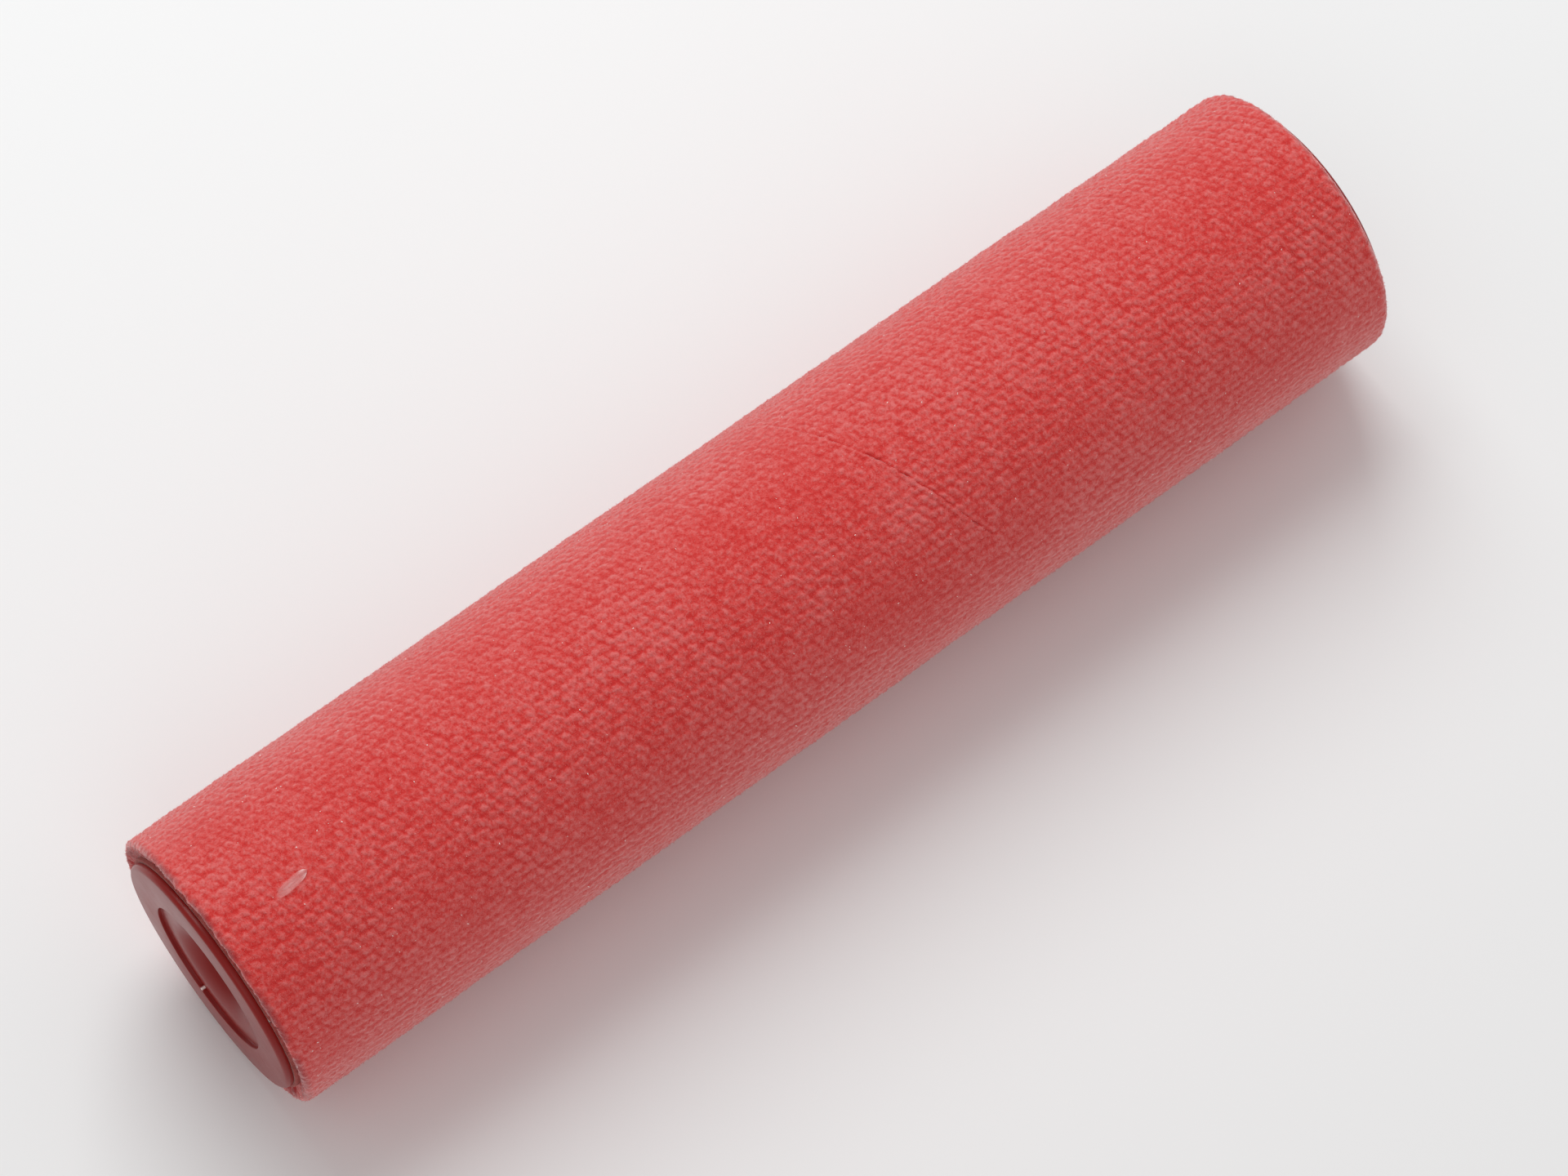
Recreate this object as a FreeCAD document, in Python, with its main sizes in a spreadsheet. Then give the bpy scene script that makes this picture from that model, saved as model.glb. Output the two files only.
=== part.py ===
"""Paint roller sleeve: a pile fabric cover on a two-ply plastic core, closed at each end by a pressed-in cap
whose hub holds a snap-in bearing for the frame's wire axle. Millimetres, axis along Y, +Z up, origin at the
middle of the roller on its axis. The near end is at -Y, the far end at +Y, and the two ends are alike."""

import FreeCAD, Part
import os

import Sketcher

# Dimensions that can be set. Each has its own cell in the spreadsheet.
DRIVING = {
    # wound core and fabric cover
    "sleeve_length": 250.0,
    "core_outer_radius": 24.0,
    "outer_ply_wall": 0.8,
    "inner_ply_wall": 0.8,
    "fabric_thickness": 4.2,
    "fabric_end_round": 2.0,
    # outer face of an end cap
    "flange_thickness": 1.6,
    "flange_edge_round": 0.8,
    "recess_radius": 15.2,
    "recess_depth": 0.85,
    "funnel_round": 6.0,
    "gate_nub_radius": 0.9,
    "gate_nub_reach": 0.35,
    "near_cap_turn": 107.0,
    # inside of an end cap
    "plate_wall": 1.6,
    "skirt_length": 14.4,
    "skirt_wall": 1.7,
    "skirt_clearance": 0.25,
    "skirt_lead_in": 0.8,
    "crush_rib_count": 12,
    "crush_rib_width": 1.0,
    "crush_rib_bite": 0.05,
    "crush_rib_setback": 3.0,
    "web_count": 6,
    "web_thickness": 1.4,
    "web_setback": 3.5,
    "hub_wall": 1.8,
    "hub_length": 7.5,
    # snap-in bearing
    "axle_bore_radius": 4.1,
    "bearing_wall": 1.4,
    "running_clearance": 0.05,
    "end_play": 0.1,
    "collar_overhang": 0.9,
    "collar_thickness": 1.0,
    "collar_clearance": 0.2,
    "bore_chamfer": 0.4,
    "snap_lip_reach": 0.5,
    "snap_lip_land": 0.6,
    "snap_lip_taper": 1.0,
    "snap_slot_count": 4,
    "snap_slot_width": 0.8,
    "snap_slot_length": 6.0,
}

# What follows from them. A depth is measured inwards from a cap's outer face, a station along the sleeve
# from its near end.
DERIVED = {
    "fabric_outer_radius": "core_outer_radius + fabric_thickness",
    "fabric_corner_radius": "fabric_outer_radius - fabric_end_round",
    "fabric_far_station": "sleeve_length - fabric_end_round",
    "ply_joint_radius": "core_outer_radius - outer_ply_wall",
    "core_inner_radius": "ply_joint_radius - inner_ply_wall",
    "half_length": "sleeve_length / 2",
    "cap_face": "half_length + flange_thickness",
    "flat_face_radius": "core_outer_radius - flange_edge_round",
    "skirt_outer_radius": "core_inner_radius - skirt_clearance",
    "skirt_tip_radius": "skirt_outer_radius - skirt_lead_in",
    "skirt_mid_radius": "skirt_outer_radius - skirt_wall / 2",
    "skirt_inner_radius": "skirt_outer_radius - skirt_wall",
    "skirt_end": "flange_thickness + skirt_length",
    "skirt_lead_depth": "skirt_end - skirt_lead_in",
    "bearing_radius": "axle_bore_radius + bearing_wall",
    "hub_bore_radius": "bearing_radius + running_clearance",
    "hub_radius": "hub_bore_radius + hub_wall",
    "collar_radius": "bearing_radius + collar_overhang",
    "seat_radius": "collar_radius + collar_clearance",
    "hub_head_radius": "seat_radius + hub_wall",
    "funnel_rim_radius": "seat_radius + funnel_round",
    "funnel_end": "recess_depth + funnel_round",
    "collar_end": "funnel_end + collar_thickness",
    "seat_end": "collar_end + end_play",
    "hub_head_end": "seat_end + hub_wall",
    "hub_end": "seat_end + hub_length",
    "recess_back": "recess_depth + plate_wall",
    "gate_nub_place": "recess_radius + gate_nub_radius - gate_nub_reach",
    "plate_middle": "recess_depth + plate_wall / 2",
    "crush_rib_radius": "core_inner_radius + crush_rib_bite",
    "crush_rib_end": "skirt_end - crush_rib_setback",
    "crush_rib_tip": "crush_rib_end + crush_rib_setback / 2",
    "web_end": "hub_end - web_setback",
    "bore_rim_radius": "axle_bore_radius + bore_chamfer",
    "bore_start": "funnel_end + bore_chamfer",
    "lip_radius": "bearing_radius + snap_lip_reach",
    "lip_start": "hub_end + end_play",
    "lip_end": "lip_start + snap_lip_land",
    "bearing_end": "lip_end + snap_lip_taper",
    "bore_end": "bearing_end - bore_chamfer",
    "slot_start": "bearing_end - snap_slot_length",
    "slot_end": "bearing_end + snap_slot_width",
}

# The axis of revolution and the outer face are at no distance from the origin, so they have no cell.
AXIS = FACE = None

DOC = FreeCAD.newDocument("paint_roller_sleeve")


def make_sheet():
    """Puts every dimension in a spreadsheet, with its name as the cell's alias."""
    sheet = DOC.addObject("Spreadsheet::Sheet", "Sizes")
    for row, (name, value) in enumerate({**DRIVING, **DERIVED}.items(), start=1):
        sheet.set(f"A{row}", name)
        sheet.set(f"B{row}", f"={value}" if name in DERIVED else str(value))
        sheet.setAlias(f"B{row}", name)
        DOC.recompute()
    return sheet


SIZES = make_sheet()


def size(name):
    """The present value of a dimension."""
    return 0.0 if name is None else float(getattr(SIZES, name))


def new_body(label):
    """A sub-part, which will be written to a file of its label's name."""
    body = DOC.addObject("PartDesign::Body", label)
    body.Label = label
    return body


def new_sketch(body, name, plane):
    """An empty sketch on one of the body's own origin planes."""
    sketch = body.newObject("Sketcher::SketchObject", name)
    planes = {feature.Role: feature for feature in body.Origin.OriginFeatures}
    sketch.AttachmentSupport = (planes[plane], [""])
    sketch.MapMode = "FlatFace"
    return sketch


def tie_to_cell(sketch, constraint, name):
    """Binds a constraint just added to the sketch to a dimension."""
    sketch.setExpression(f"Constraints[{constraint}]", f"Sizes.{name}")


def place_point(sketch, edge, end, across, along):
    """Fixes one end of an edge at a distance across and a distance along from the origin."""
    for kind, axis, name in (("DistanceX", -2, across), ("DistanceY", -1, along)):
        if name is None:
            sketch.addConstraint(Sketcher.Constraint("PointOnObject", edge, end, axis))
        else:
            added = sketch.addConstraint(Sketcher.Constraint(kind, -1, 1, edge, end, size(name)))
            tie_to_cell(sketch, added, name)


def quarter_arc(start, end, centre):
    """The arc from start to end round centre, the short way."""
    middle = centre + ((start - centre) + (end - centre)).normalize() * (start - centre).Length
    return Part.Arc(start, middle, end)


def section(body, name, corners):
    """A closed sketch in the XY plane, with the radius along X and the depth or station along Y. Each corner
    is a radius and a depth, and a third entry is the centre of the quarter arc that leads to the next one."""
    sketch = new_sketch(body, name, "XY_Plane")
    points = [FreeCAD.Vector(size(corner[0]), size(corner[1]), 0) for corner in corners]
    ends = []
    for index, corner in enumerate(corners):
        start, end = points[index], points[(index + 1) % len(points)]
        if len(corner) == 3:
            centre = FreeCAD.Vector(size(corner[2][0]), size(corner[2][1]), 0)
            edge = sketch.addGeometry(quarter_arc(start, end, centre))
            added = sketch.addConstraint(Sketcher.Constraint("DistanceX", -1, 1, edge, 3, centre.x))
            tie_to_cell(sketch, added, corner[2][0])
        else:
            edge = sketch.addGeometry(Part.LineSegment(start, end))
        runs_forward = sketch.getPoint(edge, 1).isEqual(start, 1e-6)
        ends.append((edge, 1, 2) if runs_forward else (edge, 2, 1))
    for index, (edge, first, last) in enumerate(ends):
        next_edge, next_first, _ = ends[(index + 1) % len(ends)]
        sketch.addConstraint(Sketcher.Constraint("Coincident", edge, last, next_edge, next_first))
        place_point(sketch, edge, first, corners[index][0], corners[index][1])
    return sketch


def turned(body, name, corners, kind="PartDesign::Revolution"):
    """Adds the section turned round the Y axis, or removes it if the kind is a groove."""
    sketch = section(body, name + "_section", corners)
    feature = body.newObject(kind, name)
    feature.Profile = sketch
    feature.ReferenceAxis = (sketch, ["V_Axis"])
    feature.Angle = 360
    return feature


def slab(body, name, corners, thickness, kind="PartDesign::Pad"):
    """Adds the section as a slab centred on the XY plane, or removes it if the kind is a pocket."""
    sketch = section(body, name + "_section", corners)
    feature = body.newObject(kind, name)
    feature.Profile = sketch
    feature.SideType = "Symmetric"
    feature.setExpression("Length", f"Sizes.{thickness}")
    return feature


def ring_of(body, feature, count):
    """Repeats a feature round the Y axis."""
    pattern = body.newObject("PartDesign::PolarPattern", feature.Name + "_ring")
    pattern.Originals = [feature]
    pattern.Axis = (feature.Profile[0], ["V_Axis"])
    pattern.Angle = 360
    pattern.setExpression("Occurrences", f"Sizes.{count}")
    body.Tip = pattern
    return pattern


def rectangle(inner, outer, start, end):
    """Corners of a section between two radii and two depths."""
    return [(inner, start), (outer, start), (outer, end), (inner, end)]


def stand_on_near_end(body):
    """Puts a body drawn by stations along the sleeve where the sleeve is."""
    body.setExpression("Placement.Base.y", "-Sizes.half_length")


def put_in_end(body, end):
    """Puts a body drawn by depths into the near end, or turned to face the other way into the far end."""
    if end == "near":
        body.Placement.Rotation = FreeCAD.Rotation(FreeCAD.Vector(0, 1, 0), size("near_cap_turn"))
        body.setExpression("Placement.Rotation.Angle", "Sizes.near_cap_turn")
        body.setExpression("Placement.Base.y", "-Sizes.cap_face")
    else:
        body.Placement.Rotation = FreeCAD.Rotation(FreeCAD.Vector(0, 0, 1), 180)
        body.setExpression("Placement.Base.y", "Sizes.cap_face")


def core_ply(label, inner_radius, outer_radius):
    """One of the two wound strips of the core, fused into a plain tube."""
    body = new_body(label)
    turned(body, label + "_tube", rectangle(inner_radius, outer_radius, FACE, "sleeve_length"))
    stand_on_near_end(body)


def fabric_cover():
    """Backing and pile as one tube, with the pile brushed over at its outer corners."""
    body = new_body("fabric_cover")
    corners = [
        ("core_outer_radius", FACE),
        ("fabric_corner_radius", FACE, ("fabric_corner_radius", "fabric_end_round")),
        ("fabric_outer_radius", "fabric_end_round"),
        ("fabric_outer_radius", "fabric_far_station", ("fabric_corner_radius", "fabric_far_station")),
        ("fabric_corner_radius", "sleeve_length"),
        ("core_outer_radius", "sleeve_length"),
    ]
    turned(body, "pile", corners)
    stand_on_near_end(body)


def end_cap(end):
    """A moulded cap: flange, recessed plate, skirt with crush ribs, hub on radial webs, and the gate's nub
    on the wall of the recess. The hub is moulded solid first, then hollowed by the funnel, the seat of the
    bearing's collar and the bearing's hole."""
    body = new_body(f"end_cap_{end}")
    outline = [
        (AXIS, "recess_depth"),
        ("recess_radius", "recess_depth"),
        ("recess_radius", FACE),
        ("flat_face_radius", FACE, ("flat_face_radius", "flange_edge_round")),
        ("core_outer_radius", "flange_edge_round"),
        ("core_outer_radius", "flange_thickness"),
        ("skirt_outer_radius", "flange_thickness"),
        ("skirt_outer_radius", "skirt_lead_depth"),
        ("skirt_tip_radius", "skirt_end"),
        ("skirt_inner_radius", "skirt_end"),
        ("skirt_inner_radius", "recess_back"),
        ("funnel_rim_radius", "recess_back", ("funnel_rim_radius", "funnel_end")),
        ("hub_head_radius", "funnel_end"),
        ("hub_head_radius", "hub_head_end"),
        ("hub_radius", "hub_head_end"),
        ("hub_radius", "hub_end"),
        (AXIS, "hub_end"),
    ]
    turned(body, f"shell_{end}", outline)

    web_corners = rectangle(AXIS, "skirt_mid_radius", "plate_middle", "web_end")
    web = slab(body, f"web_{end}", web_corners, "web_thickness")
    ring_of(body, web, "web_count")

    rib_corners = [
        ("skirt_mid_radius", "flange_thickness"),
        ("crush_rib_radius", "flange_thickness"),
        ("crush_rib_radius", "crush_rib_end"),
        ("skirt_mid_radius", "crush_rib_tip"),
    ]
    rib = slab(body, f"crush_rib_{end}", rib_corners, "crush_rib_width")
    ring_of(body, rib, "crush_rib_count")

    hollow = [
        (AXIS, "recess_depth"),
        ("funnel_rim_radius", "recess_depth", ("funnel_rim_radius", "funnel_end")),
        ("seat_radius", "funnel_end"),
        ("seat_radius", "seat_end"),
        ("hub_bore_radius", "seat_end"),
        ("hub_bore_radius", "hub_end"),
        (AXIS, "hub_end"),
    ]
    turned(body, f"hub_hollow_{end}", hollow, "PartDesign::Groove")

    sketch = new_sketch(body, f"gate_nub_{end}_outline", "XZ_Plane")
    centre = FreeCAD.Vector(size("gate_nub_place"), 0, 0)
    sketch.addGeometry(Part.Circle(centre, FreeCAD.Vector(0, 0, 1), size("gate_nub_radius")))
    place_point(sketch, 0, 3, "gate_nub_place", AXIS)
    added = sketch.addConstraint(Sketcher.Constraint("Radius", 0, size("gate_nub_radius")))
    tie_to_cell(sketch, added, "gate_nub_radius")
    nub = body.newObject("PartDesign::Pad", f"gate_nub_{end}")
    nub.Profile = sketch
    nub.Reversed = True
    nub.setExpression("Length", "Sizes.plate_middle")

    put_in_end(body, end)


def bearing(end):
    """A flanged bush that snaps into the hub: collar in its seat outside, slotted lip behind the hub."""
    body = new_body(f"bearing_{end}")
    outline = [
        ("axle_bore_radius", "bore_start"),
        ("bore_rim_radius", "funnel_end"),
        ("collar_radius", "funnel_end"),
        ("collar_radius", "collar_end"),
        ("bearing_radius", "collar_end"),
        ("bearing_radius", "lip_start"),
        ("lip_radius", "lip_start"),
        ("lip_radius", "lip_end"),
        ("bearing_radius", "bearing_end"),
        ("bore_rim_radius", "bearing_end"),
        ("axle_bore_radius", "bore_end"),
    ]
    turned(body, f"bush_{end}", outline)
    slot_corners = rectangle(AXIS, "hub_radius", "slot_start", "slot_end")
    slot = slab(body, f"snap_slot_{end}", slot_corners, "snap_slot_width", "PartDesign::Pocket")
    ring_of(body, slot, "snap_slot_count")
    put_in_end(body, end)


def check_document():
    """Stops if any object failed, any sub-part has no sound solid, or any cut removed nothing."""
    for thing in DOC.Objects:
        if {"Invalid", "Error"} & set(thing.State):
            raise RuntimeError(f"{thing.Name} failed: {thing.State}")
        if thing.TypeId in ("PartDesign::Groove", "PartDesign::Pocket"):
            removed = thing.BaseFeature.Shape.Volume - thing.Shape.Volume
            if removed <= 0:
                raise RuntimeError(f"{thing.Name} cut nothing")
        if thing.TypeId == "Sketcher::SketchObject" and not thing.FullyConstrained:
            raise RuntimeError(f"{thing.Name} isn't fully constrained")
    for body in sub_parts():
        if body.Shape.isNull() or not body.Shape.isValid() or len(body.Shape.Solids) != 1:
            raise RuntimeError(f"{body.Label} is not one sound solid")


def sub_parts():
    """Every sub-part of the document."""
    return [thing for thing in DOC.Objects if thing.TypeId == "PartDesign::Body"]


fabric_cover()
core_ply("core_outer_ply", "ply_joint_radius", "core_outer_radius")
core_ply("core_inner_ply", "core_inner_radius", "ply_joint_radius")
for roller_end in ("near", "far"):
    end_cap(roller_end)
    bearing(roller_end)

DOC.recompute()
check_document()

os.makedirs("parts", exist_ok=True)
for part in sub_parts():
    part.Shape.exportStep(f"parts/{part.Label}.step")
    box = part.Shape.BoundBox
    print(f"{part.Label}: {part.Shape.Volume / 1000:.2f} cm3, y {box.YMin:.2f} to {box.YMax:.2f}")
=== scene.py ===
import math

import bmesh
import bpy
from mathutils import Matrix, Vector


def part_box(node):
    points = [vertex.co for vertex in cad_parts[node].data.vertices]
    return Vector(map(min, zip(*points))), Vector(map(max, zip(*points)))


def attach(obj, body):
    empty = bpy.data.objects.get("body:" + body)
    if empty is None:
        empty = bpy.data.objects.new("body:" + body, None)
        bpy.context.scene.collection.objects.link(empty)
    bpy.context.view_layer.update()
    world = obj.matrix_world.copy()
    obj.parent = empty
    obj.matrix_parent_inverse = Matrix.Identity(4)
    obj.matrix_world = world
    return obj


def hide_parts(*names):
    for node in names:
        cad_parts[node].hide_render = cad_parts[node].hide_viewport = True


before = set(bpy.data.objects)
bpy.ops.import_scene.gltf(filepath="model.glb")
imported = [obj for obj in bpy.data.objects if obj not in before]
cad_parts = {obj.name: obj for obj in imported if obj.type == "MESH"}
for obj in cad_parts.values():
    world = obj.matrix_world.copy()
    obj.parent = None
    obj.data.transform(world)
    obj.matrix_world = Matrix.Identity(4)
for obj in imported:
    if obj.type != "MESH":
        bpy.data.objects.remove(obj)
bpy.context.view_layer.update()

MM = 0.001


# --- Wound core --------------------------------------------------------------------------------------
# Two strips of natural polypropylene, wound one over the other on a mandrel and fused. Each leaves an
# open butt joint between its turns, and the outer strip's joint runs midway between those of the inner.

class Wire:
    """A socket of a node tree. Sums written on it become Math nodes."""

    def __init__(self, bench, socket):
        self.bench = bench
        self.socket = socket

    def __add__(self, other):
        return self.bench.maths("ADD", self, other)

    def __radd__(self, other):
        return self.bench.maths("ADD", other, self)

    def __sub__(self, other):
        return self.bench.maths("SUBTRACT", self, other)

    def __rsub__(self, other):
        return self.bench.maths("SUBTRACT", other, self)

    def __mul__(self, other):
        return self.bench.maths("MULTIPLY", self, other)

    def __rmul__(self, other):
        return self.bench.maths("MULTIPLY", other, self)

    def __truediv__(self, other):
        return self.bench.maths("DIVIDE", self, other)

    def __pow__(self, other):
        return self.bench.maths("POWER", self, other)

    def __gt__(self, other):
        return self.bench.maths("GREATER_THAN", self, other)

    def output(self, name):
        """Another output of the node that this socket belongs to."""
        return Wire(self.bench, find_socket(self.socket.node.outputs, name))


def find_socket(sockets, key):
    """The socket at a place, or the one in use that has a name."""
    if isinstance(key, int):
        return sockets[key]
    return next(socket for socket in sockets if socket.enabled and key in (socket.name, socket.identifier))


class Bench:
    """A node tree being built, of a material or of geometry."""

    def __init__(self, tree):
        self.tree = tree

    def node(self, kind, settings=None, sockets=None, output=0):
        """Adds a node: its settings first, then the value or the wire of each of its sockets."""
        made = self.tree.nodes.new(kind)
        for name, value in (settings or {}).items():
            if name == "stops":
                set_stops(made.color_ramp, value)
            else:
                setattr(made, name, value)
        for key, value in (sockets or {}).items():
            socket = find_socket(made.inputs, key)
            if isinstance(value, Wire):
                self.tree.links.new(value.socket, socket)
            else:
                socket.default_value = value
        return Wire(self, find_socket(made.outputs, output))

    def maths(self, operation, *values):
        return self.node("ShaderNodeMath", {"operation": operation}, dict(enumerate(values)))

    def clamped(self, value):
        return self.node("ShaderNodeClamp", {}, {"Value": value})

    def vector(self, x, y, z):
        return self.node("ShaderNodeCombineXYZ", {}, {"X": x, "Y": y, "Z": z})

    def parts(self, vector):
        split = self.node("ShaderNodeSeparateXYZ", {}, {"Vector": vector})
        return split, split.output("Y"), split.output("Z")

    def stretched(self, vector, scale):
        return self.node("ShaderNodeVectorMath", {"operation": "MULTIPLY"}, {0: vector, 1: scale})

    def blend(self, factor, first, second):
        """Mixes two colours."""
        return self.node("ShaderNodeMix", {"data_type": "RGBA"}, {0: factor, 6: first, 7: second}, output=2)

    def bell(self, offset, reach, power=2.0):
        """One where the offset is nothing, falling off to nothing beyond the reach."""
        return self.maths("EXPONENT", (offset / reach) ** power * -1.0)

    def mark(self, name):
        """A value stored on the points of the mesh."""
        return self.node("ShaderNodeAttribute", {"attribute_name": name}, {}, output="Fac")

    def object_place(self):
        return self.node("ShaderNodeTexCoord", {}, {}, output="Object")

    def bumped(self, height, strength, distance):
        sockets = {"Strength": strength, "Distance": distance, "Height": height}
        return self.node("ShaderNodeBump", {}, sockets)

    def noise(self, vector, scale, detail=2.0, roughness=0.5):
        sockets = {"Vector": vector, "Scale": scale, "Detail": detail, "Roughness": roughness}
        return self.node("ShaderNodeTexNoise", {}, sockets)


def set_stops(ramp, stops):
    """Gives a colour ramp its stops, each a place and a colour."""
    while len(ramp.elements) < len(stops):
        ramp.elements.new(1.0)
    for element, (place, colour) in zip(ramp.elements, stops):
        element.position = place
        element.color = colour


def grey(level):
    return (level, level, level, 1.0)


def finish_material(name, build, constants):
    """A Principled material whose constants are set on the shader's own sockets. build gets a bench and
    returns the wires that vary over the surface."""
    material = bpy.data.materials.new(name)
    material.use_nodes = True
    bench = Bench(material.node_tree)
    shader = material.node_tree.nodes["Principled BSDF"]
    for key, value in {**constants, **build(bench)}.items():
        socket = find_socket(shader.inputs, key)
        if isinstance(value, Wire):
            material.node_tree.links.new(value.socket, socket)
        else:
            socket.default_value = value
    return material


SOCKET_KINDS = {
    float: "NodeSocketFloat",
    int: "NodeSocketInt",
    bpy.types.Material: "NodeSocketMaterial",
    bpy.types.Object: "NodeSocketObject",
}


class Machine:
    """A geometry node tree with named inputs, which makes plain meshes."""

    def __init__(self, name, build, inputs):
        self.tree = bpy.data.node_groups.new(name, "GeometryNodeTree")
        self.name = name
        self.keys = {}
        for label, value in inputs.items():
            kind = SOCKET_KINDS[type(value)]
            item = self.tree.interface.new_socket(label, in_out="INPUT", socket_type=kind)
            self.keys[label] = item.identifier
        self.tree.interface.new_socket("Geometry", in_out="OUTPUT", socket_type="NodeSocketGeometry")
        bench = Bench(self.tree)
        entry = self.tree.nodes.new("NodeGroupInput")
        made = build(bench, {label: Wire(bench, entry.outputs[label]) for label in inputs})
        whole = bench.node("GeometryNodeRealizeInstances", {}, {"Geometry": made})
        dressed = {"Geometry": whole, "Material": Wire(bench, entry.outputs["Material"])}
        last = bench.node("GeometryNodeSetMaterial", {}, dressed)
        self.tree.links.new(last.socket, self.tree.nodes.new("NodeGroupOutput").inputs[0])

    def make(self, name, inputs):
        """A new object whose mesh the tree makes from these inputs."""
        piece = bpy.data.objects.new(name, bpy.data.meshes.new(name))
        bpy.context.scene.collection.objects.link(piece)
        modifier = piece.modifiers.new(self.name, "NODES")
        modifier.node_group = self.tree
        for label, value in inputs.items():
            modifier[self.keys[label]] = value
        graph = bpy.context.evaluated_depsgraph_get()
        mesh = bpy.data.meshes.new_from_object(piece.evaluated_get(graph))
        piece.modifiers.remove(modifier)
        piece.data = mesh
        return piece


def close_up(piece, sharp_angle, merge=1e-7):
    """Merges doubles, closes open ends, turns the faces outwards, and smooths up to an angle."""
    mesh = bmesh.new()
    mesh.from_mesh(piece.data)
    bmesh.ops.remove_doubles(mesh, verts=mesh.verts, dist=merge)
    bmesh.ops.dissolve_degenerate(mesh, edges=mesh.edges, dist=merge)
    open_edges = [edge for edge in mesh.edges if len(edge.link_faces) == 1]
    filled = bmesh.ops.holes_fill(mesh, edges=open_edges, sides=0)["faces"]
    bmesh.ops.triangulate(mesh, faces=filled)
    bmesh.ops.recalc_face_normals(mesh, faces=mesh.faces)
    mesh.to_mesh(piece.data)
    mesh.free()
    piece.data.shade_smooth()
    piece.data.set_sharp_from_angle(angle=math.radians(sharp_angle))


def wind_plain_strip(bench, inputs):
    """A strip of rectangular section wound as a helix and cut off flush with the ends of the sleeve. Its
    columns of points run round the four corners, and the fifth column lies on the first."""
    grid = bench.node(
        "GeometryNodeMeshGrid",
        {},
        {"Size X": 1.0, "Size Y": 1.0, "Vertices X": inputs["Rows"], "Vertices Y": 5},
    )
    along, across, _ = bench.parts(grid.output("UV Map"))
    column = bench.maths("ROUND", across * 4.0)
    far_side = (column > 0.5) * (1.0 - (column > 2.5))
    inside = (column > 1.5) * (1.0 - (column > 3.5))
    turn = inputs["First Turn"] + along * (inputs["Last Turn"] - inputs["First Turn"])
    middle = (turn + inputs["Phase"]) * inputs["Pitch"]
    half = inputs["Half Length"]
    low = bench.maths("MAXIMUM", middle - inputs["Width"] * 0.5, half * -1.0)
    high = bench.maths("MINIMUM", middle + inputs["Width"] * 0.5, half)
    place = low + far_side * (high - low)
    radius = inputs["Outer Radius"] + inside * (inputs["Inner Radius"] - inputs["Outer Radius"])
    angle = turn * math.tau
    position = bench.vector(
        radius * bench.maths("SINE", angle), place, radius * bench.maths("COSINE", angle)
    )
    return bench.node("GeometryNodeSetPosition", {}, {"Geometry": grid, "Position": position})


def natural_polypropylene(bench):
    """Milky plastic with the drawn streaks of an extruded strip."""
    place = bench.object_place()
    streaks = bench.noise(bench.stretched(place, (2600.0, 260.0, 2600.0)), 1.0, 3.0)
    clouds = bench.noise(place, 90.0, 2.0)
    milk = bench.blend(clouds, (0.60, 0.585, 0.54, 1.0), (0.72, 0.705, 0.67, 1.0))
    colour = bench.blend(streaks * 0.35, milk, (0.52, 0.50, 0.46, 1.0))
    bump = bench.bumped(streaks, 0.4, 0.04 * MM)
    return {"Base Color": colour, "Roughness": 0.38 + streaks * 0.2, "Normal": bump}


core_plastic = finish_material("natural_polypropylene", natural_polypropylene, {"IOR": 1.49})

PITCH = 78.4 * MM
SEAM_PHASE = -18.3 * MM / PITCH
BUTT_JOINT = 0.4 * MM
SKIN = 0.01 * MM
LEAST_WIDTH = 0.3 * MM
ROWS_PER_TURN = 120
strip_winder = Machine(
    "wind_plain_strip",
    wind_plain_strip,
    {
        "Rows": 2, "First Turn": 0.0, "Last Turn": 0.0, "Phase": 0.0, "Half Length": 0.0, "Pitch": 0.0,
        "Width": 0.0, "Inner Radius": 0.0, "Outer Radius": 0.0, "Material": core_plastic,
    },
)

half_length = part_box("fabric_cover")[1].y
core_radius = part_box("core_outer_ply")[1].z
ply_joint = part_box("core_inner_ply")[1].z
core_bore = core_radius - 2 * (core_radius - ply_joint)


def turns_reached(width, phase):
    """The turns at which a strip first and last has any width left between the sleeve's ends."""
    reach = (half_length + width / 2 - LEAST_WIDTH) / PITCH
    return -reach - phase, reach - phase


def wound_strip(name, phase, width, inner_radius, outer_radius, material):
    """A plain strip wound from one end of the sleeve to the other."""
    first, last = turns_reached(width, phase)
    piece = strip_winder.make(
        name,
        {
            "Rows": int((last - first) * ROWS_PER_TURN), "First Turn": first, "Last Turn": last,
            "Phase": phase, "Half Length": half_length, "Pitch": PITCH, "Width": width,
            "Inner Radius": inner_radius, "Outer Radius": outer_radius, "Material": material,
        },
    )
    close_up(piece, 40)
    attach(piece, "roller")
    return piece


inner_ply = wound_strip(
    "inner_ply_strip", SEAM_PHASE + 0.25, PITCH - BUTT_JOINT, core_bore, ply_joint - SKIN, core_plastic
)
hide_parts("core_inner_ply")
outer_ply = wound_strip(
    "outer_ply_strip", SEAM_PHASE + 0.75, PITCH - BUTT_JOINT, ply_joint, core_radius - SKIN, core_plastic
)
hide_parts("core_outer_ply")


# --- Pile fabric -------------------------------------------------------------------------------------
# A strip of knitted velour, heat-bonded to the core in a helix so that its edges butt along one seam, then
# cut flush with the core. The pile stands in nubs, one to each stitch of the knit, and is brushed over at
# both ends of the sleeve.

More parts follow.
